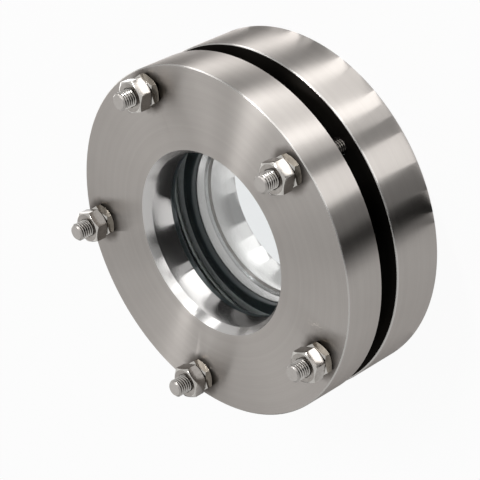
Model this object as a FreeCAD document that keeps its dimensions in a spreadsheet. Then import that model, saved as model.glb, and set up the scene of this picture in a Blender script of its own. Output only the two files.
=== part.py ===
"""Weld-on sight glass: two bolted steel flanges that clamp a glass disc between gaskets.

The part stands on its weld face. Its origin is the centre of that face, and +Z runs along the
glass axis, out through the cover and the studs. All lengths are in millimetres.
"""

import FreeCAD, Part
import math
import os

import Sketcher

# Driving dimensions: alias, value, what it measures
SIZES = [
    ("flange_diameter", 200.0, "outside diameter of both flanges"),
    ("weld_flange_thickness", 32.0, "weld flange, face to face"),
    ("cover_flange_thickness", 25.0, "cover flange, face to face"),
    ("rim_chamfer", 0.6, "edge break on the turned rims"),
    ("view_diameter", 100.0, "bore of the cover and of the throat under the glass"),
    ("view_chamfer_width", 3.0, "radial width of the cone at the mouth of the cover"),
    ("view_chamfer_height", 4.5, "height of the cone at the mouth of the cover"),
    ("process_diameter", 95.0, "bore of the weld flange at its weld face"),
    ("throat_height", 6.0, "wide bore under the inner gasket, down to the cone"),
    ("throat_cone_height", 2.5, "cone between the throat and the process bore"),
    ("cover_recess_depth", 6.0, "seat for the glass, turned into the cover flange"),
    ("weld_recess_depth", 5.0, "seat for the glass, turned into the weld flange"),
    ("recess_clearance", 0.5, "radial room around the glass in both seats"),
    ("seat_width", 12.5, "rim of the glass behind the bore of the view"),
    ("glass_thickness", 15.0, "glass disc"),
    ("glass_chamfer", 1.0, "ground edge of the glass disc"),
    ("gasket_thickness", 4.0, "each flat ring gasket"),
    ("gasket_setback", 0.5, "inner edge of a gasket behind the bore of the view"),
    ("gasket_edge_gap", 0.5, "gasket rim behind the rim of the glass"),
    ("stud_edge_distance", 12.0, "rim of the flanges to the circle of the stud axes"),
    ("stud_count", 5, "studs, evenly spaced, the first on +Y"),
    ("stud_diameter", 10.0, "thread diameter of the studs"),
    ("stud_length", 75.0, "stud, end to end"),
    ("stud_engagement", 17.0, "length of stud screwed into the weld flange"),
    ("stud_point_height", 1.5, "bevel at each end of a stud, one thread pitch"),
    ("stud_point_width", 1.0, "radial width of that bevel"),
    ("thread_clearance", 0.05, "radial room between a stud and its threads"),
    ("tapping_run_out", 3.0, "tapped hole beyond the end of its stud"),
    ("tapping_lead_in", 0.7, "countersink at the mouth of a tapped hole"),
    ("drill_point_angle", 118.0, "included angle at the bottom of a tapped hole"),
    ("clearance_hole_diameter", 11.0, "stud holes through the cover flange"),
    ("across_flats", 17.0, "width of both hexagon nuts"),
    ("nut_height", 8.0, "full nut"),
    ("lock_nut_height", 5.0, "thin nut under the full nut"),
    ("nut_face_diameter", 16.0, "flat circle left on the faces of a nut"),
    ("nut_chamfer_angle", 30.0, "slope of the cone that cuts the corners of a nut"),
    ("nut_countersink", 0.6, "bevel at both ends of a nut's bore"),
    ("nut_turn", 51.0, "corner of the full nuts, from +X"),
    ("lock_nut_turn", 10.0, "corner of the thin nuts, from +X"),
]

# Places up the axis, worked out from the driving dimensions
FLANGE_RADIUS = "Sizes.flange_diameter / 2"
VIEW_RADIUS = "Sizes.view_diameter / 2"
PROCESS_RADIUS = "Sizes.process_diameter / 2"
GLASS_RADIUS = "(Sizes.view_diameter / 2 + Sizes.seat_width)"
RECESS_RADIUS = f"({GLASS_RADIUS} + Sizes.recess_clearance)"
PITCH_RADIUS = "(Sizes.flange_diameter / 2 - Sizes.stud_edge_distance)"
STUD_RADIUS = "Sizes.stud_diameter / 2"
THREAD_RADIUS = "(Sizes.stud_diameter / 2 + Sizes.thread_clearance)"
WELD_SEAT = "(Sizes.weld_flange_thickness - Sizes.weld_recess_depth)"
GLASS_PLACE = f"({WELD_SEAT} + Sizes.gasket_thickness)"
OUTER_GASKET_PLACE = f"({GLASS_PLACE} + Sizes.glass_thickness)"
COVER_SEAT = f"({OUTER_GASKET_PLACE} + Sizes.gasket_thickness)"
COVER_PLACE = f"({COVER_SEAT} - Sizes.cover_recess_depth)"
COVER_FACE = f"({COVER_PLACE} + Sizes.cover_flange_thickness)"
FULL_NUT_PLACE = f"({COVER_FACE} + Sizes.lock_nut_height)"
STUD_PLACE = "(Sizes.weld_flange_thickness - Sizes.stud_engagement)"

doc = FreeCAD.newDocument("SightGlass")


def make_sheet():
    """Write the driving dimensions into the spreadsheet that every feature reads."""
    sheet = doc.addObject("Spreadsheet::Sheet", "Sizes")
    for row, (alias, number, note) in enumerate(SIZES, start=1):
        sheet.set(f"A{row}", alias)
        sheet.set(f"B{row}", str(number))
        sheet.setAlias(f"B{row}", alias)
        sheet.set(f"C{row}", note)
    doc.recompute()
    return sheet


sheet = make_sheet()


def value(expression):
    """The number that an expression on the sheet comes to now."""
    return float(sheet.evalExpression(expression))


def new_body(label):
    """An empty body, named for the piece it holds."""
    body = doc.addObject("PartDesign::Body", label)
    body.Label = label
    return body


def origin_feature(body, role):
    """One of the body's own base planes or axes."""
    return next(item for item in body.Origin.OriginFeatures if item.Role == role)


def new_sketch(body, name, role):
    """An empty sketch that lies on one of the body's base planes."""
    sketch = body.newObject("Sketcher::SketchObject", name)
    sketch.AttachmentSupport = (origin_feature(body, role), [""])
    sketch.MapMode = "FlatFace"
    return sketch


def pin(sketch, line, across, along):
    """Hold the first point of a line at a place given by two expressions."""
    if across == "0":
        sketch.addConstraint(Sketcher.Constraint("PointOnObject", line, 1, -2))
    else:
        index = sketch.addConstraint(Sketcher.Constraint("DistanceX", -1, 1, line, 1, value(across)))
        sketch.setExpression(f"Constraints[{index}]", across)
    if along == "0":
        sketch.addConstraint(Sketcher.Constraint("PointOnObject", line, 1, -1))
    else:
        index = sketch.addConstraint(Sketcher.Constraint("DistanceY", -1, 1, line, 1, value(along)))
        sketch.setExpression(f"Constraints[{index}]", along)


def add_outline(sketch, corners):
    """Draw a closed outline of straight lines through corners given as expressions."""
    points = [FreeCAD.Vector(value(across), value(along), 0) for across, along in corners]
    ends = points[1:] + points[:1]
    lines = [sketch.addGeometry(Part.LineSegment(start, end), False) for start, end in zip(points, ends)]
    for line, following in zip(lines, lines[1:] + lines[:1]):
        sketch.addConstraint(Sketcher.Constraint("Coincident", line, 2, following, 1))
    for line, (across, along) in zip(lines, corners):
        pin(sketch, line, across, along)


def revolve(body, name, corners):
    """Turn a half section, given as radius and height, round the body's Z axis."""
    sketch = new_sketch(body, f"{name}_section", "XZ_Plane")
    add_outline(sketch, corners)
    turned = body.newObject("PartDesign::Revolution", f"{name}_turned")
    turned.Profile = sketch
    turned.ReferenceAxis = (sketch, ["V_Axis"])
    turned.Angle = 360
    sketch.Visibility = False
    return turned


def groove(body, name, outlines):
    """Cut half sections, given as radius and height, round the body's Z axis."""
    sketch = new_sketch(body, f"{name}_section", "XZ_Plane")
    for corners in outlines:
        add_outline(sketch, corners)
    cut = body.newObject("PartDesign::Groove", f"{name}_cut")
    cut.Profile = sketch
    cut.ReferenceAxis = (sketch, ["V_Axis"])
    cut.Angle = 360
    return cut


def stud_circle(body, feature, name):
    """Repeat a hole at every stud axis and make the pattern the body's result."""
    pattern = body.newObject("PartDesign::PolarPattern", f"{name}_circle")
    pattern.Originals = [feature]
    pattern.Axis = (origin_feature(body, "Z_Axis"), [""])
    pattern.Angle = 360
    pattern.setExpression("Occurrences", "Sizes.stud_count")
    body.Tip = pattern


def place(body, height, turn="0", radius="0", angle="0"):
    """Set a piece at a height, and where it has them at a radius, an angle and a turn."""
    body.setExpression("Placement.Base.x", f"-({radius}) * sin(({angle}) * 1 deg)")
    body.setExpression("Placement.Base.y", f"({radius}) * cos(({angle}) * 1 deg)")
    body.setExpression("Placement.Base.z", height)
    body.Placement.Rotation = FreeCAD.Rotation(FreeCAD.Vector(0, 0, 1), value(turn))
    body.setExpression("Placement.Rotation.Angle", turn)


# Weld flange: turned ring with the glass seat, the throat, the process bore and tapped holes
def make_weld_flange():
    body = new_body("weld_flange")
    top = "Sizes.weld_flange_thickness"
    throat_end = f"({WELD_SEAT} - Sizes.throat_height)"
    cone_end = f"({throat_end} - Sizes.throat_cone_height)"
    revolve(body, "weld_ring", [
        (f"{PROCESS_RADIUS} + Sizes.rim_chamfer", "0"),
        (f"{FLANGE_RADIUS} - Sizes.rim_chamfer", "0"),
        (FLANGE_RADIUS, "Sizes.rim_chamfer"),
        (FLANGE_RADIUS, f"{top} - Sizes.rim_chamfer"),
        (f"{FLANGE_RADIUS} - Sizes.rim_chamfer", top),
        (f"{RECESS_RADIUS} + Sizes.rim_chamfer", top),
        (RECESS_RADIUS, f"{top} - Sizes.rim_chamfer"),
        (RECESS_RADIUS, WELD_SEAT),
        (VIEW_RADIUS, WELD_SEAT),
        (VIEW_RADIUS, throat_end),
        (PROCESS_RADIUS, cone_end),
        (PROCESS_RADIUS, "Sizes.rim_chamfer"),
    ])
    doc.recompute()
    hole = new_sketch(body, "tapped_hole_section", "YZ_Plane")
    bottom = f"({STUD_PLACE} - Sizes.tapping_run_out)"
    point = f"({bottom} - {THREAD_RADIUS} / tan(Sizes.drill_point_angle / 2 * 1 deg))"
    add_outline(hole, [
        (PITCH_RADIUS, point),
        (f"{PITCH_RADIUS} + {THREAD_RADIUS}", bottom),
        (f"{PITCH_RADIUS} + {THREAD_RADIUS}", f"{top} - Sizes.tapping_lead_in"),
        (f"{PITCH_RADIUS} + {THREAD_RADIUS} + Sizes.tapping_lead_in", top),
        (PITCH_RADIUS, top),
    ])
    low, high = (FreeCAD.Vector(value(PITCH_RADIUS), value(end), 0) for end in (point, top))
    axis = hole.addGeometry(Part.LineSegment(low, high), True)
    hole.addConstraint(Sketcher.Constraint("Coincident", axis, 1, 0, 1))
    hole.addConstraint(Sketcher.Constraint("Coincident", axis, 2, 4, 1))
    tapped = body.newObject("PartDesign::Groove", "tapped_hole")
    tapped.Profile = hole
    tapped.ReferenceAxis = (hole, ["Axis0"])
    tapped.Angle = 360
    doc.recompute()
    stud_circle(body, tapped, "tapped_hole")
    return body


# Cover flange: turned ring with a coned mouth, the glass seat and clearance holes
def make_cover_flange():
    body = new_body("cover_flange")
    top = "Sizes.cover_flange_thickness"
    seat = "Sizes.cover_recess_depth"
    revolve(body, "cover_ring", [
        (f"{RECESS_RADIUS} + Sizes.rim_chamfer", "0"),
        (f"{FLANGE_RADIUS} - Sizes.rim_chamfer", "0"),
        (FLANGE_RADIUS, "Sizes.rim_chamfer"),
        (FLANGE_RADIUS, f"{top} - Sizes.rim_chamfer"),
        (f"{FLANGE_RADIUS} - Sizes.rim_chamfer", top),
        (f"{VIEW_RADIUS} + Sizes.view_chamfer_width", top),
        (VIEW_RADIUS, f"{top} - Sizes.view_chamfer_height"),
        (VIEW_RADIUS, seat),
        (RECESS_RADIUS, seat),
        (RECESS_RADIUS, "Sizes.rim_chamfer"),
    ])
    doc.recompute()
    hole = new_sketch(body, "clearance_hole_outline", "XY_Plane")
    centre = FreeCAD.Vector(0, value(PITCH_RADIUS), 0)
    radius = value("Sizes.clearance_hole_diameter / 2")
    ring = hole.addGeometry(Part.Circle(centre, FreeCAD.Vector(0, 0, 1), radius), False)
    hole.addConstraint(Sketcher.Constraint("PointOnObject", ring, 3, -2))
    height = hole.addConstraint(Sketcher.Constraint("DistanceY", -1, 1, ring, 3, centre.y))
    hole.setExpression(f"Constraints[{height}]", PITCH_RADIUS)
    width = hole.addConstraint(Sketcher.Constraint("Diameter", ring, 2 * radius))
    hole.setExpression(f"Constraints[{width}]", "Sizes.clearance_hole_diameter")
    pocket = body.newObject("PartDesign::Pocket", "clearance_hole")
    pocket.Profile = hole
    pocket.Type = "ThroughAll"
    pocket.Reversed = True
    doc.recompute()
    stud_circle(body, pocket, "clearance_hole")
    place(body, COVER_PLACE)
    return body


# Glass disc with ground edges
def make_glass():
    body = new_body("sight_glass")
    top = "Sizes.glass_thickness"
    revolve(body, "glass_disc", [
        ("0", "0"),
        (f"{GLASS_RADIUS} - Sizes.glass_chamfer", "0"),
        (GLASS_RADIUS, "Sizes.glass_chamfer"),
        (GLASS_RADIUS, f"{top} - Sizes.glass_chamfer"),
        (f"{GLASS_RADIUS} - Sizes.glass_chamfer", top),
        ("0", top),
    ])
    place(body, GLASS_PLACE)
    return body


# Flat ring gasket, one on each side of the glass
def make_gasket(label, height):
    body = new_body(label)
    bore = f"{VIEW_RADIUS} + Sizes.gasket_setback"
    rim = f"{GLASS_RADIUS} - Sizes.gasket_edge_gap"
    revolve(body, f"{label}_ring", [
        (bore, "0"),
        (rim, "0"),
        (rim, "Sizes.gasket_thickness"),
        (bore, "Sizes.gasket_thickness"),
    ])
    place(body, height)
    return body


# Stud with a bevelled point at each end
def make_stud(label, angle):
    body = new_body(label)
    top = "Sizes.stud_length"
    revolve(body, f"{label}_bar", [
        ("0", "0"),
        (f"{STUD_RADIUS} - Sizes.stud_point_width", "0"),
        (STUD_RADIUS, "Sizes.stud_point_height"),
        (STUD_RADIUS, f"{top} - Sizes.stud_point_height"),
        (f"{STUD_RADIUS} - Sizes.stud_point_width", top),
        ("0", top),
    ])
    place(body, STUD_PLACE, radius=PITCH_RADIUS, angle=angle)
    return body


def hexagon(sketch):
    """Draw a regular hexagon with one corner on the X axis and its flats a set width apart."""
    radius = value("Sizes.across_flats") / 2 / math.cos(math.radians(30))
    circle = Part.Circle(FreeCAD.Vector(0, 0, 0), FreeCAD.Vector(0, 0, 1), radius)
    ring = sketch.addGeometry(circle, True)
    sketch.addConstraint(Sketcher.Constraint("Coincident", ring, 3, -1, 1))
    span = sketch.addConstraint(Sketcher.Constraint("Radius", ring, radius))
    sketch.setExpression(f"Constraints[{span}]", "Sizes.across_flats / 2 / cos(30 deg)")
    turns = [math.radians(60 * corner) for corner in range(6)]
    points = [FreeCAD.Vector(radius * math.cos(turn), radius * math.sin(turn), 0) for turn in turns]
    ends = points[1:] + points[:1]
    sides = [sketch.addGeometry(Part.LineSegment(start, end), False) for start, end in zip(points, ends)]
    for side, following in zip(sides, sides[1:] + sides[:1]):
        sketch.addConstraint(Sketcher.Constraint("Coincident", side, 2, following, 1))
        sketch.addConstraint(Sketcher.Constraint("PointOnObject", side, 1, ring))
    for side in sides[1:]:
        sketch.addConstraint(Sketcher.Constraint("Equal", sides[0], side))
    sketch.addConstraint(Sketcher.Constraint("PointOnObject", sides[0], 1, -1))


# Hexagon nut with coned corners on both faces and a countersunk bore
def make_nut(label, height, place_height, turn, angle):
    body = new_body(label)
    outline = new_sketch(body, f"{label}_hexagon", "XY_Plane")
    hexagon(outline)
    pad = body.newObject("PartDesign::Pad", f"{label}_block")
    pad.Profile = outline
    pad.setExpression("Length", height)
    doc.recompute()
    face = "Sizes.nut_face_diameter / 2"
    reach = "Sizes.across_flats"
    drop = f"({reach} - {face}) * tan(Sizes.nut_chamfer_angle * 1 deg)"
    flare = f"{THREAD_RADIUS} + Sizes.nut_countersink"
    groove(body, f"{label}_turned", [
        [(face, height), (reach, f"{height} - {drop}"), (reach, height)],
        [(face, "0"), (reach, "0"), (reach, drop)],
        [
            ("0", "0"),
            (flare, "0"),
            (THREAD_RADIUS, "Sizes.nut_countersink"),
            (THREAD_RADIUS, f"{height} - Sizes.nut_countersink"),
            (flare, height),
            ("0", height),
        ],
    ])
    place(body, place_height, turn=turn, radius=PITCH_RADIUS, angle=angle)
    return body


def make_fasteners():
    """One stud, one thin nut and one full nut at each place on the stud circle."""
    bodies = []
    for number in range(1, round(value("Sizes.stud_count")) + 1):
        angle = f"{number - 1} * 360 / Sizes.stud_count"
        bodies.append(make_stud(f"stud_{number}", angle))
        bodies.append(make_nut(f"lock_nut_{number}", "Sizes.lock_nut_height", COVER_FACE,
                               "Sizes.lock_nut_turn", angle))
        bodies.append(make_nut(f"hex_nut_{number}", "Sizes.nut_height", FULL_NUT_PLACE,
                               "Sizes.nut_turn", angle))
    return bodies


def check_model(bodies):
    """Stop if a feature failed, a cut removed nothing, or a piece isn't one valid solid."""
    for item in doc.Objects:
        if "Invalid" in item.State or "Error" in item.State:
            raise RuntimeError(f"{item.Name} failed: {item.State}")
        if item.TypeId in ("PartDesign::Groove", "PartDesign::Pocket", "PartDesign::PolarPattern"):
            if item.Shape.Volume >= item.BaseFeature.Shape.Volume:
                raise RuntimeError(f"{item.Name} removed nothing")
    for body in bodies:
        shape = body.Shape
        if shape.isNull() or not shape.isValid() or len(shape.Solids) != 1:
            raise RuntimeError(f"{body.Label} isn't one valid solid")


def main():
    """Build every piece, check it and write one STEP file for each."""
    bodies = [
        make_weld_flange(),
        make_gasket("inner_gasket", WELD_SEAT),
        make_glass(),
        make_gasket("outer_gasket", OUTER_GASKET_PLACE),
        make_cover_flange(),
    ]
    bodies += make_fasteners()
    doc.recompute()
    check_model(bodies)
    os.makedirs("parts", exist_ok=True)
    for body in bodies:
        body.Shape.exportStep(f"parts/{body.Label}.step")
        box = body.Shape.BoundBox
        print(f"{body.Label}: {body.Shape.Volume:.1f} mm3, z {box.ZMin:.2f} to {box.ZMax:.2f}")


main()
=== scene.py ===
"""Weld-on sight glass: the looks of two bolted steel flanges that clamp a glass disc.

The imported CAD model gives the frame. Every piece here stands for one of its nodes, in the same
place and at the same size: turned flanges with brushed and polished faces, flat ring gaskets,
the glass, and threaded studs with bevelled nuts. All lengths are in metres.
"""

import logging
import math
from collections.abc import Callable
from dataclasses import dataclass
from enum import Enum, IntEnum
from functools import cached_property

import bpy
from mathutils import Matrix, Vector


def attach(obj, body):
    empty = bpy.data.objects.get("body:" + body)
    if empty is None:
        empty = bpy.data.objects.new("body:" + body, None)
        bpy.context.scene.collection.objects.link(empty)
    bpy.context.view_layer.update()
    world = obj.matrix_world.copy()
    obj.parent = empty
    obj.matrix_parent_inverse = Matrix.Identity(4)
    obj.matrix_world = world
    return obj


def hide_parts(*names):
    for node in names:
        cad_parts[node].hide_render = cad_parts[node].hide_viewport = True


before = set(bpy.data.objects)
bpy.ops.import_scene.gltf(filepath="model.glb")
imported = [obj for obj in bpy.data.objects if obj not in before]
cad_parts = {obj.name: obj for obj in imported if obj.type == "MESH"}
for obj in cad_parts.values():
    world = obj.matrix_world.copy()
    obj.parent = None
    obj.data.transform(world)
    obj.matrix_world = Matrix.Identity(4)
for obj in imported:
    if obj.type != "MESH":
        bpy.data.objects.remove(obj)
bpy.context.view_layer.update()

logging.basicConfig(level=logging.INFO, format="%(message)s")
log = logging.getLogger("sight_glass")

Piece = bpy.types.Object
Material = bpy.types.Material
Socket = bpy.types.NodeSocket
Colour = tuple[float, float, float, float]
Profile = list[tuple[float, float]]
Choice = Callable[[Vector, Vector], int]

# Sizes that several pieces share. FIRST_STUD is the heading of stud 1, in degrees

MM = 0.001
GLASS_TOP = 46 * MM
FRONT_FACE = 69 * MM
STUD_CIRCLE = 88 * MM
STUD_COUNT = 5
FIRST_STUD = 90.0
MERGE_DISTANCE = 0.01 * MM
SMOOTH_ANGLE = math.radians(30)


def stud_place(number: int, height: float) -> Vector:
    """Find a point on a stud's axis.

    Args:
        number: the stud's number, from 1.
        height: the point's height.

    Returns:
        The point.
    """
    angle = math.radians(FIRST_STUD + 360 * (number - 1) / STUD_COUNT)
    return Vector((STUD_CIRCLE * math.cos(angle), STUD_CIRCLE * math.sin(angle), height))


# Node helpers


class Shader:
    """A node tree under construction, with short calls for the nodes that the finishes use."""

    def __init__(self, name: str, world: bool = False) -> None:
        """Start an empty material or world.

        Args:
            name: its name.
            world: make a world in place of a material.
        """
        self.block = bpy.data.worlds.new(name) if world else bpy.data.materials.new(name)
        self.block.use_nodes = True
        self.tree = self.block.node_tree
        self.tree.nodes.clear()
        self.output = self.node("ShaderNodeOutputWorld" if world else "ShaderNodeOutputMaterial")

    @cached_property
    def place(self) -> Socket:
        """The shaded point, in the piece's own space."""
        return self.node("ShaderNodeTexCoord").outputs["Object"]

    def link(self, source: Socket, target: Socket) -> None:
        """Join two sockets."""
        self.tree.links.new(source, target)

    def give(self, target: Socket, given: object) -> None:
        """Link a socket to another, or set it to a plain value.

        Args:
            target: the socket to fill.
            given: a socket or a value.
        """
        if isinstance(given, Socket):
            self.link(given, target)
        else:
            target.default_value = given

    def node(self, kind: str, **settings: object) -> bpy.types.Node:
        """Add a node and set its properties.

        Args:
            kind: the node's type name.
            settings: values for the node's own properties.

        Returns:
            The new node.
        """
        node = self.tree.nodes.new(kind)
        for key, setting in settings.items():
            setattr(node, key, setting)
        return node

    def feed(self, node: bpy.types.Node, **inputs: object) -> bpy.types.Node:
        """Link or set a node's inputs by name, with underscores for spaces.

        Args:
            node: the node to feed.
            inputs: sockets to link, or plain values.

        Returns:
            The same node.
        """
        for key, given in inputs.items():
            self.give(node.inputs[key.replace("_", " ")], given)
        return node

    def calc(self, operation: str, *values: object) -> Socket:
        """Work out a scalar with a Math node.

        Args:
            operation: the node's own name for what it does.
            values: its sockets or numbers, as many as the operation takes.

        Returns:
            The result's socket.
        """
        node = self.node("ShaderNodeMath", operation=operation)
        for socket, given in zip(node.inputs, values):
            self.give(socket, given)
        return node.outputs[0]

    def length(self, first: Socket, second: Socket) -> Socket:
        """Work out the length of the slope over two sides at right angles.

        Args:
            first: one side.
            second: the other side.

        Returns:
            The length's socket.
        """
        return self.calc("SQRT", self.calc("ADD", self.calc("MULTIPLY", first, first),
                                           self.calc("MULTIPLY", second, second)))

    def blend(self, first: Socket, second: Socket, share: float) -> Socket:
        """Add two values by their shares of the whole.

        Args:
            first: one value.
            second: the other value.
            share: the first one's share, from 0 to 1.

        Returns:
            The sum's socket.
        """
        return self.calc("ADD", self.calc("MULTIPLY", first, share),
                         self.calc("MULTIPLY", second, 1 - share))

    def spread(self, source: Socket, low: float, high: float) -> Socket:
        """Map a value from 0 to 1 onto another range.

        Args:
            source: the value.
            low: what 0 becomes.
            high: what 1 becomes.

        Returns:
            The new value's socket.
        """
        node = self.node("ShaderNodeMapRange")
        self.feed(node, Value=source, To_Min=low, To_Max=high)
        return node.outputs["Result"]

    def ramp(self, source: Socket, start: float, end: float) -> Socket:
        """Rise smoothly from 0 to 1 between two values.

        Args:
            source: the value.
            start: where the result is 0.
            end: where the result is 1.

        Returns:
            The result's socket.
        """
        node = self.node("ShaderNodeMapRange", interpolation_type="SMOOTHSTEP")
        self.feed(node, Value=source, From_Min=start, From_Max=end)
        return node.outputs["Result"]

    def noise(self, where: Socket, scale: float, detail: float = 2.0, dimensions: str = "3D") -> Socket:
        """Noise at a place, centred on one half.

        Args:
            where: a vector, or a scalar for the 1D kind.
            scale: cycles to the metre.
            detail: octaves.
            dimensions: the node's own name for the number of dimensions.

        Returns:
            The noise value's socket.
        """
        node = self.node("ShaderNodeTexNoise", noise_dimensions=dimensions)
        self.link(where, node.inputs["W" if dimensions == "1D" else "Vector"])
        node.inputs["Scale"].default_value = scale
        node.inputs["Detail"].default_value = detail
        return node.outputs["Fac"]

    def tint(self, amount: Socket, dark: object, light: object) -> Socket:
        """Blend two colours.

        Args:
            amount: 0 for the dark one, 1 for the light one.
            dark: a colour or its socket.
            light: a colour or its socket.

        Returns:
            The blended colour's socket.
        """
        node = self.node("ShaderNodeMix", data_type="RGBA")
        self.link(amount, node.inputs["Factor"])
        first, second = [socket for socket in node.inputs if socket.type == "RGBA"]
        self.give(first, dark)
        self.give(second, light)
        return next(socket for socket in node.outputs if socket.type == "RGBA")

    def bump(self, height: Socket, strength: float, depth: float) -> Socket:
        """Raise fine relief.

        Args:
            height: the relief's height, from 0 to 1.
            strength: how much of it shows.
            depth: the height that 1 stands for.

        Returns:
            The normal's socket.
        """
        node = self.node("ShaderNodeBump")
        return self.feed(node, Strength=strength, Distance=depth, Height=height).outputs[0]

    def finish(self, surface: bpy.types.Node) -> Material | bpy.types.World:
        """Link the last node to the output.

        Args:
            surface: the node that gives the surface or background.

        Returns:
            The finished material or world.
        """
        self.link(surface.outputs[0], self.output.inputs[0])
        return self.block


def lathe_tangent(shader: Shader) -> tuple[Socket, Socket, Socket]:
    """Directions of a surface that was turned about the Z axis.

    Args:
        shader: the material under construction.

    Returns:
        The radius, the height and the direction of the cutting marks.
    """
    split = shader.node("ShaderNodeSeparateXYZ")
    shader.link(shader.place, split.inputs[0])
    x, y, z = split.outputs
    turned = shader.node("ShaderNodeCombineXYZ")
    shader.link(shader.calc("MULTIPLY", y, -1.0), turned.inputs[0])
    shader.link(x, turned.inputs[1])
    along = shader.node("ShaderNodeVectorMath", operation="NORMALIZE")
    shader.link(turned.outputs[0], along.inputs[0])
    return shader.length(x, y), z, along.outputs[0]


def stud_distance(shader: Shader) -> Socket:
    """Distance from the nearest of the stud axes.

    Args:
        shader: the material under construction.

    Returns:
        The distance's socket.
    """
    split = shader.node("ShaderNodeSeparateXYZ")
    shader.link(shader.place, split.inputs[0])
    x, y, _ = split.outputs
    radius = shader.length(x, y)
    turned = shader.calc("SUBTRACT", shader.calc("ARCTAN2", y, x), math.radians(FIRST_STUD))
    half_step = math.pi / STUD_COUNT
    angle = shader.calc("WRAP", turned, half_step, -half_step)
    across = shader.calc("MULTIPLY", radius, shader.calc("SINE", angle))
    outward = shader.calc("MULTIPLY", radius, shader.calc("COSINE", angle))
    return shader.length(across, shader.calc("SUBTRACT", outward, STUD_CIRCLE))


def seen_directly(shader: Shader) -> Socket:
    """Tell rays that show a surface, straight, mirrored or through glass, from rays that it lights.

    Args:
        shader: the material or world under construction.

    Returns:
        A socket that is 1 for rays that show the surface.
    """
    path = shader.node("ShaderNodeLightPath")
    shown = shader.calc("MAXIMUM", path.outputs["Is Camera Ray"], path.outputs["Is Glossy Ray"])
    return shader.calc("MAXIMUM", shown, path.outputs["Is Transmission Ray"])


# Finishes


@dataclass(frozen=True)
class TurnedSteel:
    """Steel with fine cutting marks round the axis, which stretch its highlights across them."""

    name: str = "turned_steel"
    dark: Colour = (0.315, 0.294, 0.276, 1.0)
    light: Colour = (0.465, 0.438, 0.415, 1.0)
    roughness: tuple[float, float] = (0.31, 0.39)
    marks_per_metre: float = 2400.0
    broad_marks_per_metre: float = 2400.0 / 9.0
    fine_share: float = 0.6
    marks_share: float = 0.7
    cloud_scale: float = 38.0
    mark_depth: float = 0.12 * MM
    mark_strength: float = 0.25
    rim_tint: Colour = (0.58, 0.56, 0.55, 1.0)
    # Painted shade round the foot of each nut on the front face: whether it is on, its colour, share, reach
    # and ragged edge
    paint_nut_shade: bool = False
    nut_shade_colour: Colour = (0.05, 0.04, 0.032, 1.0)
    nut_shade_share: float = 0.75
    nut_shade_full: float = 9 * MM
    nut_shade_end: float = 15 * MM
    nut_shade_ragged: float = 1.5 * MM
    nut_shade_scale: float = 220.0
    nut_shade_above: float = FRONT_FACE - 0.3 * MM

    def nut_shade_mask(self, shader: Shader, height: Socket) -> Socket:
        """Work out where shade is painted on the front face, round the foot of each nut: a painted contact
        shadow and dark reflection of the nuts.

        Args:
            shader: the material under construction.
            height: the height above the rear face.

        Returns:
            A socket that is 1 at the nuts and 0 away from them.
        """
        wander = shader.spread(shader.noise(shader.place, self.nut_shade_scale, 3.0),
                               -self.nut_shade_ragged, self.nut_shade_ragged)
        distance = shader.calc("ADD", stud_distance(shader), wander)
        near = shader.ramp(distance, self.nut_shade_end, self.nut_shade_full)
        return shader.calc("MULTIPLY", near, shader.calc("GREATER_THAN", height, self.nut_shade_above))

    def material(self) -> Material:
        """Build the node material.

        Returns:
            The material.
        """
        shader = Shader(self.name)
        radius, height, along = lathe_tangent(shader)
        reach = shader.calc("ADD", radius, height)
        fine = shader.noise(reach, self.marks_per_metre, 3.0, "1D")
        broad = shader.noise(reach, self.broad_marks_per_metre, 2.0, "1D")
        marks = shader.blend(fine, broad, self.fine_share)
        cloud = shader.noise(shader.place, self.cloud_scale, 3.0)
        colour = shader.tint(shader.blend(marks, cloud, self.marks_share), self.dark, self.light)
        # Painted shade: the colour darkens round the foot of each nut, standing in for the nuts' shadow and
        # dark reflection
        if self.paint_nut_shade:
            shade_amount = shader.calc("MULTIPLY", self.nut_shade_mask(shader, height), self.nut_shade_share)
            colour = shader.tint(shade_amount, colour, self.nut_shade_colour)
        surface = shader.node("ShaderNodeBsdfPrincipled")
        shader.feed(surface, Metallic=1.0, Anisotropic=1.0, Anisotropic_Rotation=0.25, Tangent=along,
                    Normal=shader.bump(marks, self.mark_strength, self.mark_depth), Base_Color=colour,
                    Specular_Tint=self.rim_tint, Roughness=shader.spread(marks, *self.roughness))
        return shader.finish(surface)


@dataclass(frozen=True)
class FastenerSteel:
    """Bright steel of studs and nuts, with fine scratches, and with painted shade in the hollows of a
    thread.
    """

    name: str
    dark: Colour
    light: Colour
    roughness: tuple[float, float]
    # Distances from the stud axis between which painted shade in the thread's hollows fades out
    hollow: tuple[float, float] | None = None
    grain_scale: float = 900.0
    cloud_scale: float = 160.0
    grain_share: float = 0.45
    scratch_depth: float = 0.05 * MM
    scratch_strength: float = 0.15

    def material(self) -> Material:
        """Build the node material.

        Returns:
            The material.
        """
        shader = Shader(self.name)
        grain = shader.noise(shader.place, self.grain_scale, 4.0)
        mixed = shader.blend(grain, shader.noise(shader.place, self.cloud_scale, 2.0), self.grain_share)
        # Painted shade: darker in the hollows of the thread, close to the stud axis
        if self.hollow:
            mixed = shader.calc("MULTIPLY", mixed, shader.ramp(stud_distance(shader), *self.hollow))
        surface = shader.node("ShaderNodeBsdfPrincipled")
        shader.feed(surface, Metallic=1.0, Base_Color=shader.tint(mixed, self.dark, self.light),
                    Normal=shader.bump(grain, self.scratch_strength, self.scratch_depth),
                    Roughness=shader.spread(mixed, *self.roughness))
        return shader.finish(surface)


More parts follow.
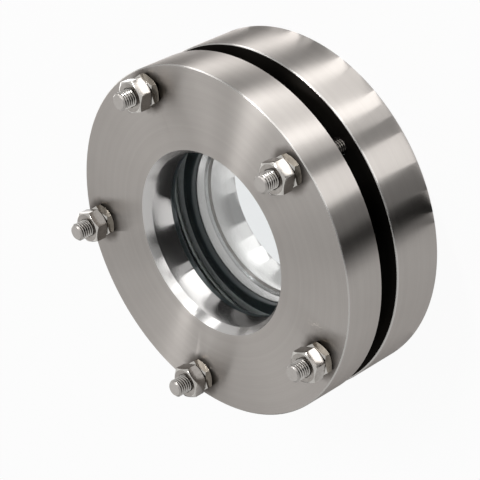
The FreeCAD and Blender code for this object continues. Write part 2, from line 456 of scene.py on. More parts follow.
@dataclass(frozen=True)
class SightGlass:
    """Polished or ground glass with a faint tint. It bends light little, and its coat gives the sheen."""

    name: str
    colour: Colour
    roughness: tuple[float, float]
    bend: float = 1.07
    sheen_bend: float = 1.5
    haze_scale: float = 60.0

    def material(self) -> Material:
        """Build the node material.

        Returns:
            The material.
        """
        shader = Shader(self.name)
        haze = shader.noise(shader.place, self.haze_scale, 2.0)
        surface = shader.node("ShaderNodeBsdfPrincipled")
        shader.feed(surface, Base_Color=self.colour, IOR=self.bend, Transmission_Weight=1.0,
                    Coat_Weight=1.0, Coat_IOR=self.sheen_bend, Coat_Roughness=0.0,
                    Roughness=shader.spread(haze, *self.roughness))
        return shader.finish(surface)


@dataclass(frozen=True)
class RingRubber:
    """Rubber of a sealing ring, with a soft sheen and a fine moulded grain."""

    name: str
    dark: Colour
    light: Colour
    roughness: tuple[float, float] = (0.28, 0.5)
    grain_scale: float = 700.0
    grain_depth: float = 0.1 * MM
    grain_strength: float = 0.3

    def material(self) -> Material:
        """Build the node material.

        Returns:
            The material.
        """
        shader = Shader(self.name)
        grain = shader.noise(shader.place, self.grain_scale, 3.0)
        surface = shader.node("ShaderNodeBsdfPrincipled")
        shader.feed(surface, Normal=shader.bump(grain, self.grain_strength, self.grain_depth),
                    Base_Color=shader.tint(grain, self.dark, self.light),
                    Roughness=shader.spread(grain, *self.roughness))
        return shader.finish(surface)


SATIN_STEEL = TurnedSteel()
# The front face carries painted shade round the foot of each nut
FACE_STEEL = TurnedSteel("turned_face", paint_nut_shade=True)
BORE_STEEL = TurnedSteel("polished_bore", (0.50, 0.49, 0.48, 1.0), (0.62, 0.61, 0.60, 1.0), (0.17, 0.22))
# Faces inside the gap between the flanges are near black: painted shade where the gap lies in deep shadow
GAP_SHADE_STEEL = TurnedSteel("painted_shade_gap_face", (0.008, 0.007, 0.006, 1.0), (0.016, 0.014, 0.012, 1.0), (0.34, 0.44))
# Chamfers: the lower roughness is a real polish, and the lighter colour is a painted highlight line along
# the edges
EDGE_HIGHLIGHT_STEEL = TurnedSteel("polished_edge_highlight", (0.42, 0.405, 0.385, 1.0), (0.56, 0.545, 0.525, 1.0), (0.22, 0.28))
CLEAR_GLASS = SightGlass("clear_glass", (0.895, 0.915, 0.92, 1.0), (0.0, 0.004))
GROUND_GLASS = SightGlass("ground_glass", (0.75, 0.85, 0.84, 1.0), (0.35, 0.5))
DARK_RUBBER = RingRubber("ring_rubber", (0.010, 0.016, 0.017, 1.0), (0.040, 0.058, 0.060, 1.0))
# A lighter band on the outer zone of each gasket's upper face, standing in for a light line seen through the
# glass between the dark rings
GASKET_LIGHT_BAND = RingRubber("gasket_light_band", (0.45, 0.47, 0.46, 1.0), (0.75, 0.77, 0.76, 1.0))
THREAD_STEEL = FastenerSteel("stud_steel", (0.03, 0.025, 0.02, 1.0), (0.85, 0.82, 0.78, 1.0), (0.10, 0.24),
                             hollow=(4.2 * MM, 4.6 * MM))
STUD_END_STEEL = FastenerSteel("stud_end_steel", (0.30, 0.28, 0.26, 1.0), (0.46, 0.44, 0.42, 1.0),
                               (0.26, 0.38))
NUT_STEEL = FastenerSteel("nut_steel", (0.13, 0.115, 0.10, 1.0), (0.47, 0.445, 0.42, 1.0), (0.12, 0.28))
THIN_NUT_STEEL = FastenerSteel("lock_nut_steel", (0.06, 0.05, 0.04, 1.0), (0.30, 0.27, 0.23, 1.0),
                               (0.14, 0.30))
# Upper cones of the nuts: lighter as a machined chamfer and as a painted highlight
LIT_CONE_STEEL = FastenerSteel("lit_cone_steel", (0.36, 0.34, 0.31, 1.0), (0.72, 0.70, 0.67, 1.0), (0.12, 0.24))
# Lower cones of the nuts, which face the flange: near black as painted shade
SHADED_CONE_STEEL = FastenerSteel("painted_shade_cone_steel", (0.012, 0.010, 0.008, 1.0), (0.05, 0.042, 0.034, 1.0), (0.2, 0.4))


# Mesh tools


def clear_selection() -> None:
    """Leave edit mode and select nothing."""
    if bpy.context.mode != "OBJECT":
        bpy.ops.object.mode_set(mode="OBJECT")
    bpy.ops.object.select_all(action="DESELECT")


def activate(piece: Piece) -> None:
    """Make a piece the only selected and active one.

    Args:
        piece: the object.
    """
    clear_selection()
    piece.select_set(True)
    bpy.context.view_layer.objects.active = piece


def settle(piece: Piece, name: str) -> Piece:
    """Name a piece and put its place into its mesh.

    Args:
        piece: the finished object.
        name: its new name.

    Returns:
        The same object, at the origin, unturned and unscaled.
    """
    activate(piece)
    bpy.ops.object.transform_apply(location=True, rotation=True, scale=True)
    piece.name = name
    piece.data.name = name
    return piece


def face_out(piece: Piece) -> None:
    """Merge doubles and point every face outwards.

    Args:
        piece: the object to mend.
    """
    activate(piece)
    bpy.ops.object.mode_set(mode="EDIT")
    bpy.ops.mesh.select_all(action="SELECT")
    bpy.ops.mesh.remove_doubles(threshold=MERGE_DISTANCE / 10)
    bpy.ops.mesh.normals_make_consistent(inside=False)
    bpy.ops.object.mode_set(mode="OBJECT")


def turn(name: str, profile: Profile, steps: int = 192, ring: bool = True) -> Piece:
    """Turn a half section round the Z axis, circle by circle.

    Args:
        name: the piece's name.
        profile: radius and height of each corner, in order round the section.
        steps: faces round the axis.
        ring: join the last corner to the first. Otherwise the ends are closed, as on a bar.

    Returns:
        The turned piece.
    """
    clear_selection()
    radius, height = profile[0]
    bpy.ops.mesh.primitive_circle_add(vertices=steps, radius=radius, location=(0, 0, height))
    piece = bpy.context.object
    bpy.ops.object.mode_set(mode="EDIT")
    bpy.ops.mesh.select_mode(type="VERT")
    bpy.ops.mesh.select_all(action="SELECT")
    for radius_next, height_next in profile[1:] + (profile[:1] if ring else []):
        bpy.ops.mesh.extrude_edges_move()
        factor = radius_next / radius
        bpy.ops.transform.resize(value=(factor, factor, 1.0), center_override=(0, 0, height))
        bpy.ops.transform.translate(value=(0, 0, height_next - height))
        radius, height = radius_next, height_next
    if not ring:
        bpy.ops.mesh.select_all(action="SELECT")
        bpy.ops.mesh.fill_holes(sides=0)
    face_out(piece)
    return settle(piece, name)


def modify(piece: Piece, kind: str, **settings: object) -> None:
    """Add a modifier to a piece and apply it.

    Args:
        piece: the object to change.
        kind: the modifier's type name.
        settings: values for the modifier's own properties.
    """
    activate(piece)
    modifier = piece.modifiers.new(kind.lower(), kind)
    for key, setting in settings.items():
        setattr(modifier, key, setting)
    bpy.ops.object.modifier_apply(modifier=modifier.name)


def cut(piece: Piece, tool: Piece, operation: str = "DIFFERENCE") -> None:
    """Cut a piece with a tool, and remove the tool.

    Args:
        piece: the object to cut.
        tool: the object that cuts it.
        operation: the Boolean modifier's own name for the kind of cut.
    """
    modify(piece, "BOOLEAN", operation=operation, object=tool, solver="EXACT")
    bpy.data.objects.remove(tool)


def shade(piece: Piece, angle: float = SMOOTH_ANGLE) -> None:
    """Shade a piece smooth, and leave its sharp edges crisp.

    Args:
        piece: the object to shade.
        angle: edges sharper than this stay crisp, in radians.
    """
    activate(piece)
    bpy.ops.object.shade_smooth_by_angle(angle=angle)


def soften(piece: Piece, width: float, angle: float = 40.0, segments: int = 2) -> None:
    """Round the sharp edges of a piece and shade the rest smooth.

    Args:
        piece: the object to finish.
        width: width of the rounding.
        angle: edges sharper than this are rounded, in degrees.
        segments: faces across the rounding.
    """
    modify(piece, "BEVEL", width=width, segments=segments, limit_method="ANGLE",
           angle_limit=math.radians(angle), harden_normals=False)
    shade(piece)


def twin(piece: Piece, name: str, move: Vector, turn_by: float) -> Piece:
    """Copy a piece with its own mesh, turned about the Z axis and moved.

    Args:
        piece: the object to copy.
        name: the copy's name.
        move: how far the copy goes.
        turn_by: turn about the axis, in degrees, before the move.

    Returns:
        The copy, at the origin, with its place in its mesh.
    """
    copy = piece.copy()
    copy.data = piece.data.copy()
    bpy.context.scene.collection.objects.link(copy)
    copy.data.transform(Matrix.Translation(move) @ Matrix.Rotation(math.radians(turn_by), 4, "Z"))
    copy.name = name
    copy.data.name = name
    return copy


def paint(piece: Piece, finishes: list[Material], choose: Choice) -> None:
    """Give each face of a piece one of several materials.

    Args:
        piece: the object to dress.
        finishes: the materials, in slot order.
        choose: a function of a face's centre and normal that returns the slot's number.
    """
    piece.data.materials.clear()
    for finish in finishes:
        piece.data.materials.append(finish)
    for face in piece.data.polygons:
        face.material_index = choose(face.center, face.normal)


def slopes(normal: Vector, limit: float) -> bool:
    """Tell whether a face is neither upright nor level.

    Args:
        normal: the face's normal.
        limit: the steepest part of the normal along Z that still counts.

    Returns:
        True for a sloping face.
    """
    return 0.1 < abs(normal.z) < limit


def mount(piece: Piece, node: str) -> None:
    """Hang a piece on the frame in place of a CAD node, and report it.

    Args:
        piece: the finished object.
        node: the CAD node that the piece stands for.
    """
    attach(piece, "root")
    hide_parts(node)
    log.info("%s: %d faces, stands for %s", piece.name, len(piece.data.polygons), node)


# Flanges


class FlangeSlot(IntEnum):
    """Material slots of a flange."""

    SATIN = 0
    BORE = 1
    # Faces inside the gap between the flanges, painted near black as painted shade
    GAP = 2
    # Chamfers, lighter in colour as a painted highlight line along the edges
    EDGE = 3


@dataclass
class WeldFlange:
    """Thick rear flange with the throat, the process bore and the lower glass seat."""

    radius: float = 100 * MM
    thickness: float = 32 * MM
    seat_radius: float = 63 * MM
    seat_height: float = 27 * MM
    throat_radius: float = 50 * MM
    throat_bottom: float = 21 * MM
    bore_radius: float = 47.5 * MM
    cone_middle: float = 19.75 * MM
    cone_bottom: float = 18.5 * MM
    edge: float = 0.6 * MM
    rounding: float = 0.2 * MM
    inside: float = 62 * MM

    def build(self) -> Piece:
        """Turn the flange and round its edges.

        Returns:
            The flange.
        """
        edge = self.edge
        piece = turn("weld_flange_body", [
            (self.bore_radius + edge, 0.0),
            (self.radius - edge, 0.0),
            (self.radius, edge),
            (self.radius, self.thickness - edge),
            (self.radius - edge, self.thickness),
            (self.seat_radius + edge, self.thickness),
            (self.seat_radius, self.thickness - edge),
            (self.seat_radius, self.seat_height),
            (self.throat_radius, self.seat_height),
            (self.throat_radius, self.throat_bottom),
            ((self.throat_radius + self.bore_radius) / 2, self.cone_middle),
            (self.bore_radius, self.cone_bottom),
            (self.bore_radius, edge),
        ])
        soften(piece, self.rounding)
        return piece

    def choose(self, centre: Vector, normal: Vector) -> int:
        """Pick a face's slot. The lower half of the cone is satin, which draws a grey ring in the bore.

        Args:
            centre: the face's centre.
            normal: the face's normal.

        Returns:
            The slot's number.
        """
        if centre.xy.length < self.inside:
            on_ring = self.cone_bottom < centre.z < self.cone_middle
            return FlangeSlot.SATIN if on_ring else FlangeSlot.BORE
        if centre.z > self.thickness - MERGE_DISTANCE:
            return FlangeSlot.GAP
        return FlangeSlot.EDGE if slopes(normal, 0.98) else FlangeSlot.SATIN

    def dress(self, piece: Piece, finishes: list[Material]) -> None:
        """Paint the flange and hang it on the frame.

        Args:
            piece: the built flange.
            finishes: its materials, in the order of FlangeSlot.
        """
        paint(piece, finishes, self.choose)
        mount(piece, "weld_flange")


@dataclass
class CoverFlange:
    """Front flange with a coned mouth, the upper glass seat and clearance holes."""

    radius: float = 100 * MM
    bottom: float = 44 * MM
    face: float = FRONT_FACE
    seat_radius: float = 63 * MM
    seat_height: float = 50 * MM
    view_radius: float = 50 * MM
    cone_width: float = 3 * MM
    cone_height: float = 4.5 * MM
    edge: float = 0.6 * MM
    rounding: float = 0.2 * MM
    inside: float = 53.05 * MM
    hole_radius: float = 5.5 * MM

    def build(self) -> Piece:
        """Turn the flange, drill it and round its edges.

        Returns:
            The flange.
        """
        edge = self.edge
        piece = turn("cover_flange_body", [
            (self.seat_radius + edge, self.bottom),
            (self.radius - edge, self.bottom),
            (self.radius, self.bottom + edge),
            (self.radius, self.face - edge),
            (self.radius - edge, self.face),
            (self.view_radius + self.cone_width, self.face),
            (self.view_radius, self.face - self.cone_height),
            (self.view_radius, self.seat_height),
            (self.seat_radius, self.seat_height),
            (self.seat_radius, self.bottom + edge),
        ])
        for number in range(1, STUD_COUNT + 1):
            clear_selection()
            bpy.ops.mesh.primitive_cylinder_add(
                vertices=32, radius=self.hole_radius, depth=2 * (self.face - self.bottom),
                location=stud_place(number, (self.face + self.bottom) / 2))
            cut(piece, bpy.context.object)
        soften(piece, self.rounding)
        return piece

    def choose(self, centre: Vector, normal: Vector) -> int:
        """Pick a face's slot.

        Args:
            centre: the face's centre.
            normal: the face's normal.

        Returns:
            The slot's number.
        """
        if centre.xy.length < self.inside:
            return FlangeSlot.BORE
        if centre.z < self.bottom + MERGE_DISTANCE:
            return FlangeSlot.GAP
        return FlangeSlot.EDGE if slopes(normal, 0.98) else FlangeSlot.SATIN

    def dress(self, piece: Piece, finishes: list[Material]) -> None:
        """Paint the flange and hang it on the frame.

        Args:
            piece: the built flange.
            finishes: its materials, in the order of FlangeSlot.
        """
        paint(piece, finishes, self.choose)
        mount(piece, "cover_flange")


# Glass and gaskets


@dataclass
class GlassDisc:
    """Polished disc with ground, chamfered edges."""

    radius: float = 62.5 * MM
    top: float = GLASS_TOP
    thickness: float = 15 * MM
    chamfer: float = 1 * MM

    def build(self) -> Piece:
        """Model the disc from a cylinder with bevelled rims.

        Returns:
            The disc.
        """
        clear_selection()
        bpy.ops.mesh.primitive_cylinder_add(vertices=160, radius=self.radius, depth=self.thickness,
                                            location=(0, 0, self.top - self.thickness / 2))
        piece = settle(bpy.context.object, "sight_glass_disc")
        modify(piece, "BEVEL", width=self.chamfer, segments=2, limit_method="ANGLE",
               angle_limit=math.radians(60))
        shade(piece)
        return piece

    def choose(self, centre: Vector, normal: Vector) -> int:
        """Pick a face's slot: 0 for the clear faces, 1 for the ground edge."""
        return int(abs(normal.z) < 0.95)

    def dress(self, piece: Piece, finishes: list[Material]) -> None:
        """Paint the disc and hang it on the frame.

        Args:
            piece: the built disc.
            finishes: the clear and the ground glass.
        """
        paint(piece, finishes, self.choose)
        mount(piece, "sight_glass")


@dataclass
class Gasket:
    """Flat ring gasket with well rounded edges, a hair thinner than the room it lies in."""

    name: str
    node: str
    bottom: float
    inner: float = 50.5 * MM
    outer: float = 62 * MM
    thickness: float = 4 * MM
    rounding: float = 0.7 * MM
    pale_from: float = 57 * MM
    slack: float = 0.02 * MM

    def build(self) -> Piece:
        """Turn the ring and round its edges.

        Returns:
            The gasket.
        """
        bottom, top = self.bottom + self.slack, self.bottom + self.thickness - self.slack
        piece = turn(self.name, [
            (self.inner, bottom), (self.outer, bottom), (self.outer, top), (self.pale_from, top),
            (self.inner, top),
        ], steps=144)
        soften(piece, self.rounding, segments=4)
        return piece

    def choose(self, centre: Vector, normal: Vector) -> int:
        """Pick a face's slot: 0 for dark rubber, 1 for the lighter band on the outer zone of the upper face.
        """
        return int(normal.z > 0.5 and centre.xy.length > self.pale_from)

    def dress(self, piece: Piece, finishes: list[Material]) -> None:
        """Paint the gasket and hang it on the frame.

        Args:
            piece: the built gasket.
            finishes: the dark rubber and the lighter band.
        """
        paint(piece, finishes, self.choose)
        mount(piece, self.node)


# Fasteners


class NutSlot(IntEnum):
    """Material slots of a nut."""

    BODY = 0
    # Upper cones carry a painted highlight, lower cones painted shade
    UPPER_CONE = 1
    LOWER_CONE = 2


@dataclass
class Fasteners:
    """Studs with a cut thread, and a thin and a full nut on each."""

    stud_radius: float = 5 * MM
    stud_bottom: float = 15 * MM
    stud_top: float = 90 * MM
    point_height: float = 1.5 * MM
    point_width: float = 1 * MM
    pitch: float = 1.5 * MM
    thread_depth: float = 0.85 * MM
    thread_skim: float = 0.005 * MM
    spare_turns: int = 2
    flats: float = 17 * MM
    lock_bottom: float = FRONT_FACE
    lock_height: float = 5 * MM
    lock_turn: float = 10.0
    nut_height: float = 8 * MM
    nut_turn: float = 51.0
    nut_face: float = 16 * MM
    nut_cone: float = 30.0
    nut_edge: float = 0.18 * MM
    bore_radius: float = 5.05 * MM
    countersink: float = 0.6 * MM

    def make_stud(self) -> Piece:
        """Screw a thread section up the axis and cut it to a bar with bevelled ends.

        Returns:
            A stud on the Z axis.
        """
        clear_selection()
        core = self.stud_radius - self.thread_depth
        length = self.stud_top - self.stud_bottom
        start = self.stud_bottom - self.spare_turns * self.pitch
        turns = math.ceil(length / self.pitch) + 2 * self.spare_turns
        bpy.ops.mesh.primitive_plane_add(size=1.0)
        piece = bpy.context.object
        bpy.ops.object.mode_set(mode="EDIT")
        bpy.ops.mesh.delete(type="VERT")
        bpy.ops.object.mode_set(mode="OBJECT")
        flat = self.pitch / 8
        section = [(core, 0.0), (core, flat), (self.stud_radius, self.pitch / 2),
                   (self.stud_radius, self.pitch / 2 + flat), (core, self.pitch)]
        piece.data.from_pydata([(radius, 0.0, start + height) for radius, height in section],
                               [(index, index + 1) for index in range(len(section) - 1)], [])
        modify(piece, "SCREW", angle=2 * math.pi, screw_offset=self.pitch, iterations=turns, steps=24,
               render_steps=24, axis="Z", use_merge_vertices=True, merge_threshold=MERGE_DISTANCE)
        activate(piece)
        bpy.ops.object.mode_set(mode="EDIT")
        bpy.ops.mesh.select_all(action="SELECT")
        bpy.ops.mesh.remove_doubles(threshold=MERGE_DISTANCE)
        bpy.ops.mesh.fill_holes(sides=0)
        bpy.ops.mesh.select_all(action="SELECT")
        bpy.ops.mesh.normals_make_consistent(inside=False)
        bpy.ops.object.mode_set(mode="OBJECT")
        clear_selection()
        bpy.ops.mesh.primitive_cylinder_add(
            vertices=48, radius=self.stud_radius - self.thread_skim, depth=length,
            location=(0, 0, self.stud_bottom + length / 2))
        bar = bpy.context.object
        modify(bar, "BEVEL", width=self.point_width, segments=1, limit_method="ANGLE",
               angle_limit=math.radians(60))
        cut(piece, bar, "INTERSECT")
        shade(piece, math.radians(35))
        return settle(piece, "stud_pattern")

    def make_nut(self, name: str, height: float) -> Piece:
        """Cut a hexagon with a coned barrel, bore it and soften its edges.

        Args:
            name: the piece's name.
            height: the nut's height.

        Returns:
            A nut standing on the XY plane, with a corner on the X axis.
        """
        clear_selection()
        corner = self.flats / 2 / math.cos(math.radians(30))
        bpy.ops.mesh.primitive_cylinder_add(vertices=6, radius=corner, depth=height,
                                            location=(0, 0, height / 2), rotation=(0, 0, math.radians(30)))
        piece = settle(bpy.context.object, name)
        middle = self.nut_face / 2 + height / 2 / math.tan(math.radians(self.nut_cone))
        barrel = turn("nut_barrel", [(self.nut_face / 2, 0.0), (middle, height / 2),
                                     (self.nut_face / 2, height)], steps=96, ring=False)
        cut(piece, barrel, "INTERSECT")
        wide = self.bore_radius + self.countersink + MM
        bore = turn("nut_bore", [(wide, -MM), (self.bore_radius, self.countersink),
                                 (self.bore_radius, height - self.countersink), (wide, height + MM)],
                    steps=48, ring=False)
        cut(piece, bore)
        soften(piece, self.nut_edge, angle=20)
        return piece

    def choose_stud(self, centre: Vector, normal: Vector) -> int:
        """Pick a stud's slot: 0 on the thread, 1 on the bevelled ends."""
        low, high = self.stud_bottom + self.point_height, self.stud_top - self.point_height
        return int(not low <= centre.z <= high)

    def choose_nut(self, centre: Vector, normal: Vector) -> int:
        """Pick a nut's slot, by the slope of the face: upper cones get a painted highlight, lower cones,
        which face the flange, painted shade.
        """
        cone = NutSlot.UPPER_CONE if normal.z > 0 else NutSlot.LOWER_CONE
        return cone if slopes(normal, 0.97) else NutSlot.BODY

    def build(self, finishes: dict[str, list[Material]]) -> None:
        """Model one of each kind, copy it round the circle, and dress and hang the copies.

        Args:
            finishes: the materials of each kind of piece, in slot order.
        """
        patterns = {
            "stud": (self.make_stud(), 0.0, 0.0, self.choose_stud),
            "lock_nut": (self.make_nut("lock_nut_pattern", self.lock_height),
                         self.lock_bottom, self.lock_turn, self.choose_nut),
            "hex_nut": (self.make_nut("hex_nut_pattern", self.nut_height),
                        self.lock_bottom + self.lock_height, self.nut_turn, self.choose_nut),
        }
        for kind, (pattern, height, turn_by, choose) in patterns.items():
            for number in range(1, STUD_COUNT + 1):
                piece = twin(pattern, f"{kind}_{number}_threaded", stud_place(number, height), turn_by)
                paint(piece, finishes[kind], choose)
                mount(piece, f"{kind}_{number}")
            bpy.data.objects.remove(pattern)


# Studio

# The heading from which the camera looks at the part, and how high boards lie above what they lie on
CAMERA_SIDE = math.radians(8.87)
BOARD_LIFT = 0.4 * MM


class Seen(Enum):
    """Rays that a stage piece shows itself to."""

    ALL = "all"
    MIRRORS_ONLY = "mirrors only"


class Bore(Enum):
    """The two polished bores, each with the height and the radius of the boards inside it."""

    COVER = (GLASS_TOP + 0.5 * MM, CoverFlange.view_radius - 0.1 * MM)
    PROCESS = (BOARD_LIFT, WeldFlange.bore_radius - 0.2 * MM)


def compass(angle: float) -> tuple[Vector, Vector]:
    """Find the level unit vectors along a heading and to the left of it.

    Args:
        angle: the heading, in radians.

    Returns:
        The two vectors.
    """
    return (Vector((math.cos(angle), math.sin(angle), 0)),
            Vector((-math.sin(angle), math.cos(angle), 0)))


def show_to(piece: Piece, seen: Seen) -> None:
    """Set which rays see a stage piece.

    Args:
        piece: the stage piece.
        seen: the rays.
    """
    everywhere = seen is Seen.ALL
    piece.visible_camera = everywhere
    piece.visible_diffuse = everywhere
    piece.visible_transmission = everywhere
    piece.visible_shadow = everywhere


def glow(name: str, level: float, one_sided: bool = False) -> Material:
    """An even, lit board.

    Args:
        name: the material's name.
        level: how bright it is, where 1 is white.
        one_sided: leave the back clear.

    Returns:
        The material.
    """
    shader = Shader(name)
    light = shader.node("ShaderNodeEmission")
    light.inputs["Strength"].default_value = level
    if one_sided:
        mix = shader.node("ShaderNodeMixShader")
        shader.link(shader.node("ShaderNodeNewGeometry").outputs["Backfacing"], mix.inputs[0])
        shader.link(light.outputs[0], mix.inputs[1])
        shader.link(shader.node("ShaderNodeBsdfTransparent").outputs[0], mix.inputs[2])
        return shader.finish(mix)
    return shader.finish(light)


def lay(name: str, corners: list[Vector], level: float, one_sided: bool = False) -> None:
    """Make a four-cornered board that only mirrors see.

    Args:
        name: the board's name.
        corners: its corners, in order round it, anticlockwise seen from its front.
        level: how bright it is, where 1 is white.
        one_sided: leave the back clear.
    """
    clear_selection()
    bpy.ops.mesh.primitive_circle_add(vertices=4, radius=0.01, fill_type="NGON")
    board = bpy.context.object
    for vertex, corner in zip(board.data.vertices, corners):
        vertex.co = Vector(corner)
    board.name = name
    board.data.materials.append(glow(name, level, one_sided))
    show_to(board, Seen.MIRRORS_ONLY)


@dataclass(frozen=True)
class Board:
    """A studio board beside the part, lying on the floor and folded up at its far edge.

    It fills what the rim of a flange reflects between two angles, as the camera sees it.
    """

    first: float
    last: float
    level: float
    rise: float = 500 * MM
    near: float = 101 * MM
    reach: float = 450 * MM

    def add(self) -> None:
        """Lay the flat part and stand the far part up."""
        middle = math.radians((self.first + self.last) / 2)
        half = math.radians(self.last - self.first) / 2
        heading = 2 * middle - CAMERA_SIDE
        near_half = self.near * math.sin(half) * abs(math.cos(heading - middle))
        far_half = near_half + self.reach * math.tan(2 * half)
        start = compass(middle)[0] * self.near
        away, side = compass(heading)
        lift = Vector((0, 0, BOARD_LIFT))
        near, far = [[start + away * distance + side * half_width * sign + lift for sign in (-1, 1)]
                     for distance, half_width in ((0.0, near_half), (self.reach, far_half))]
        name = f"board_{self.first:.0f}_{self.last:.0f}".replace("-", "m")
        lay(name, [near[0], far[0], far[1], near[1]], self.level)
        up = Vector((0, 0, self.rise))
        lay(name + "_fold", [far[0], far[0] + up, far[1] + up, far[1]], self.level)


@dataclass(frozen=True)
class BoreBoard:
    """A small board inside the hole that fills what a bore's wall reflects between two angles.

    The wall is a hollow mirror, so what it reflects narrows to a tip, half a radius away at most.
    """

    bore: Bore
    first: float
    last: float
    level: float
    tip_half: float = 0.3 * MM

    def add(self) -> None:
        """Lay the board."""
        height, radius = self.bore.value
        middle = math.radians((self.first + self.last) / 2)
        half = math.radians(self.last - self.first) / 2
        lean = middle - math.pi - CAMERA_SIDE
        near_half = radius * math.sin(half) * math.cos(lean)
        start = compass(middle)[0] * radius + Vector((0, 0, height))
        away, side = compass(middle + math.pi + lean)
        tip = start + away * (0.5 * radius * math.cos(lean))
        lay(f"bore_board_{self.first:.0f}_{math.floor(height / MM)}",
            [start - side * near_half, tip - side * self.tip_half,
             tip + side * self.tip_half, start + side * near_half], self.level)


@dataclass(frozen=True)
class NutBoard:
    """A small board on the flange's face, at the foot of a nut, that brightens one of its flats."""

    stud: int
    level: float
    flat: float = 21.0
    near: float = 12 * MM
    reach: float = 14 * MM
    half_width: float = 6 * MM

    def add(self) -> None:
        """Lay the board."""
        away, side = compass(2 * math.radians(self.flat) - CAMERA_SIDE)
        start = stud_place(self.stud, FRONT_FACE + BOARD_LIFT) + away * self.near
        end = start + away * self.reach
        lay(f"nut_board_{self.stud}", [start - side * self.half_width, end - side * self.half_width,
                                       end + side * self.half_width, start + side * self.half_width],
            self.level, one_sided=True)


@dataclass(frozen=True)
class Screen:
    """A tall board that stands round the part between two directions."""

    first: float
    last: float
    level: float
    bottom: float
    top: float
    distance: float = 1.1

    def add(self) -> None:
        """Stand the screen up."""
        foot = [compass(math.radians(angle))[0] * self.distance for angle in (self.first, self.last)]
        low, high = Vector((0, 0, self.bottom)), Vector((0, 0, self.top))
        lay(f"screen_{self.first:.0f}".replace("-", "m"),
            [foot[0] + low, foot[1] + low, foot[1] + high, foot[0] + high], self.level)


@dataclass(frozen=True)
class Strip:
    """A soft box, placed by its direction from the glass."""

    name: str
    azimuth: float
    elevation: float
    width: float
    height: float
    power: float
    distance: float = 1.4
    aim_height: float = 50 * MM

    def add(self) -> None:
        """Add the lamp, aimed at the middle of the part."""
        azimuth, elevation = math.radians(self.azimuth), math.radians(self.elevation)
        away = Vector((math.cos(azimuth) * math.cos(elevation), math.sin(azimuth) * math.cos(elevation),
                       math.sin(elevation)))
        data = bpy.data.lights.new(self.name, "AREA")
        data.shape = "RECTANGLE"
        data.size, data.size_y, data.energy = self.width, self.height, self.power
        lamp = bpy.data.objects.new(self.name, data)
        bpy.context.scene.collection.objects.link(lamp)
        lamp.location = Vector((0, 0, self.aim_height)) + away * self.distance
        lamp.rotation_euler = away.to_track_quat("Z", "Y").to_euler()
        lamp.visible_camera = False


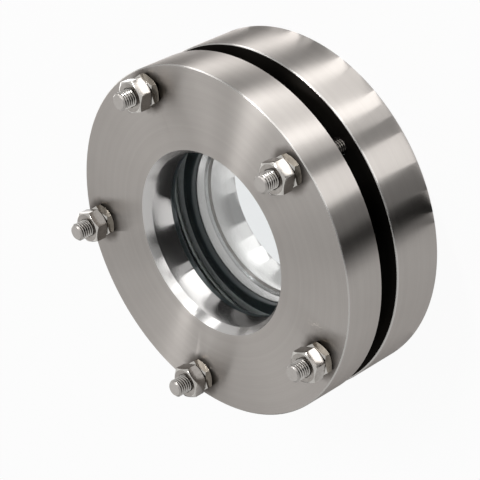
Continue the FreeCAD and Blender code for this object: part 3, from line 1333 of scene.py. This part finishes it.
@dataclass
class Studio:
    """Pale floor, pale surroundings, boards that only mirrors see, a lamp and the camera."""

    floor_size: float = 6.0
    floor_drop: float = 0.2 * MM
    floor_grey: float = 0.90
    floor_glow: float = 0.93
    world_light: float = 0.7
    stop_height: float = GLASS_TOP + 0.3 * MM
    stop_level: float = 0.02
    camera_place: tuple[float, float, float] = (0.78074, 0.11625, 0.65512)
    camera_right: tuple[float, float, float] = (0.60564, -0.36662, -0.70625)
    camera_up: tuple[float, float, float] = (0.13676, 0.92229, -0.36149)
    lens: float = 138.39
    sensor: float = 36.0
    boards: tuple[Board, ...] = (
        Board(-81.0, -76.0, 0.05, 0.16),
        Board(-76.0, -66.0, 0.30, 0.16),
        Board(-66.0, -56.0, 0.62, 0.10),
        Board(-17.0, -13.5, 0.38),
        Board(-13.5, -6.5, 0.0),
        Board(-6.5, 2.5, 0.33),
        Board(2.5, 12.5, 2.1),
        Board(12.5, 18.0, 0.5),
        Board(18.0, 22.5, 1.4),
        Board(22.5, 27.5, 3.2),
        Board(27.5, 37.5, 1.8),
        Board(37.5, 43.0, 3.1),
        Board(43.0, 53.0, 0.55),
        Board(53.0, 57.0, 1.4),
        Board(57.0, 63.0, 3.3),
        Board(63.0, 67.0, 0.8),
        Board(67.0, 78.0, 0.5, 0.1),
        Board(78.0, 86.0, 2.7, 0.06),
        Board(86.0, 96.0, 2.8, 0.06),
    )
    bore_boards: tuple[BoreBoard, ...] = (
        BoreBoard(Bore.COVER, 150.0, 168.0, 1.05),
        BoreBoard(Bore.COVER, 192.0, 197.0, 0.6),
        BoreBoard(Bore.COVER, 197.0, 217.0, 2.2),
        BoreBoard(Bore.COVER, 217.0, 225.0, 0.7),
        BoreBoard(Bore.COVER, 234.0, 254.0, 0.25),
        BoreBoard(Bore.PROCESS, 143.0, 155.0, 1.5),
        BoreBoard(Bore.PROCESS, 155.0, 165.0, 1.2),
        BoreBoard(Bore.PROCESS, 165.0, 186.0, 0.5),
        BoreBoard(Bore.PROCESS, 186.0, 196.0, 1.5),
        BoreBoard(Bore.PROCESS, 196.0, 205.0, 2.2),
        BoreBoard(Bore.PROCESS, 205.0, 216.0, 3.1),
        BoreBoard(Bore.PROCESS, 216.0, 226.0, 2.0),
    )
    nut_boards: tuple[NutBoard, ...] = (
        NutBoard(1, 4.5), NutBoard(2, 1.2), NutBoard(3, 1.2), NutBoard(4, 4.5), NutBoard(5, 4.5),
    )
    screens: tuple[Screen, ...] = (
        Screen(-38.0, 4.0, 0.12, 0.25, 1.2),
        Screen(16.0, 78.0, 2.2, 0.15, 1.2),
        Screen(150.0, 228.0, 1.05, 0.3, 1.6),
    )
    strips: tuple[Strip, ...] = (
        Strip("streak_lamp", 84.0, 54.0, 0.08, 0.4, 4.0),
    )

    def add_camera(self) -> None:
        """Place the camera as in the photograph."""
        data = bpy.data.cameras.new("camera")
        data.lens = self.lens
        data.sensor_width = self.sensor
        camera = bpy.data.objects.new("camera", data)
        bpy.context.scene.collection.objects.link(camera)
        right, up = Vector(self.camera_right), Vector(self.camera_up)
        turned = Matrix((right, up, right.cross(up))).transposed()
        camera.matrix_world = Matrix.Translation(self.camera_place) @ turned.to_4x4()
        bpy.context.scene.camera = camera

    def add_floor(self) -> None:
        """Lay a white floor that keeps a soft shadow."""
        clear_selection()
        bpy.ops.mesh.primitive_plane_add(size=self.floor_size, location=(0, 0, -self.floor_drop))
        floor = bpy.context.object
        floor.name = "floor"
        shader = Shader("pale_floor")
        paper = shader.node("ShaderNodeBsdfDiffuse")
        paper.inputs["Color"].default_value = (self.floor_grey, self.floor_grey, self.floor_grey, 1.0)
        white = shader.node("ShaderNodeEmission")
        white.inputs["Strength"].default_value = 1.0
        mix = shader.node("ShaderNodeMixShader")
        shader.link(shader.calc("MULTIPLY", seen_directly(shader), self.floor_glow), mix.inputs[0])
        shader.link(paper.outputs[0], mix.inputs[1])
        shader.link(white.outputs[0], mix.inputs[2])
        floor.data.materials.append(shader.finish(mix))
        show_to(floor, Seen.ALL)

    def add_stop(self) -> None:
        """Lay a dark disc on the glass that only the polished bore reflects."""
        clear_selection()
        bpy.ops.mesh.primitive_circle_add(vertices=96, radius=Bore.COVER.value[1], fill_type="NGON",
                                          location=(0, 0, self.stop_height))
        stop = bpy.context.object
        stop.name = "dark_stop"
        stop.data.materials.append(glow("dark_stop", self.stop_level))
        show_to(stop, Seen.MIRRORS_ONLY)

    def add_surroundings(self) -> None:
        """Fill the world with pale light, white where it is seen."""
        shader = Shader("surroundings", world=True)
        back = shader.node("ShaderNodeBackground")
        shader.feed(back, Strength=shader.spread(seen_directly(shader), self.world_light, 1.0))
        bpy.context.scene.world = shader.finish(back)

    def build(self) -> None:
        """Set up everything round the part."""
        self.add_camera()
        self.add_floor()
        self.add_surroundings()
        for board in self.boards + self.screens + self.nut_boards + self.bore_boards:
            board.add()
        self.add_stop()
        for strip in self.strips:
            strip.add()
        bpy.context.scene.view_settings.view_transform = "Standard"
        log.info("studio: %d floor boards, %d screens, %d nut boards, %d bore boards, %d lamps",
                 len(self.boards), len(self.screens), len(self.nut_boards), len(self.bore_boards),
                 len(self.strips))


def main() -> None:
    """Build the part from the rear flange to the nuts, then the studio round it."""
    weld, cover, glass = WeldFlange(), CoverFlange(), GlassDisc()
    shared = [BORE_STEEL.material(), GAP_SHADE_STEEL.material(), EDGE_HIGHLIGHT_STEEL.material()]
    weld.dress(weld.build(), [SATIN_STEEL.material(), *shared])
    cover.dress(cover.build(), [FACE_STEEL.material(), *shared])
    glass.dress(glass.build(), [CLEAR_GLASS.material(), GROUND_GLASS.material()])
    rubbers = [DARK_RUBBER.material(), GASKET_LIGHT_BAND.material()]
    for gasket in (Gasket("inner_gasket_ring", "inner_gasket", weld.seat_height),
                   Gasket("outer_gasket_ring", "outer_gasket", glass.top)):
        gasket.dress(gasket.build(), rubbers)
    # Cone finishes: a painted highlight on the upper cones, painted shade on the lower ones
    cones = [LIT_CONE_STEEL.material(), SHADED_CONE_STEEL.material()]
    Fasteners().build({
        "stud": [THREAD_STEEL.material(), STUD_END_STEEL.material()],
        "lock_nut": [THIN_NUT_STEEL.material(), *cones],
        "hex_nut": [NUT_STEEL.material(), *cones],
    })
    Studio().build()


if __name__ == "__main__":
    main()
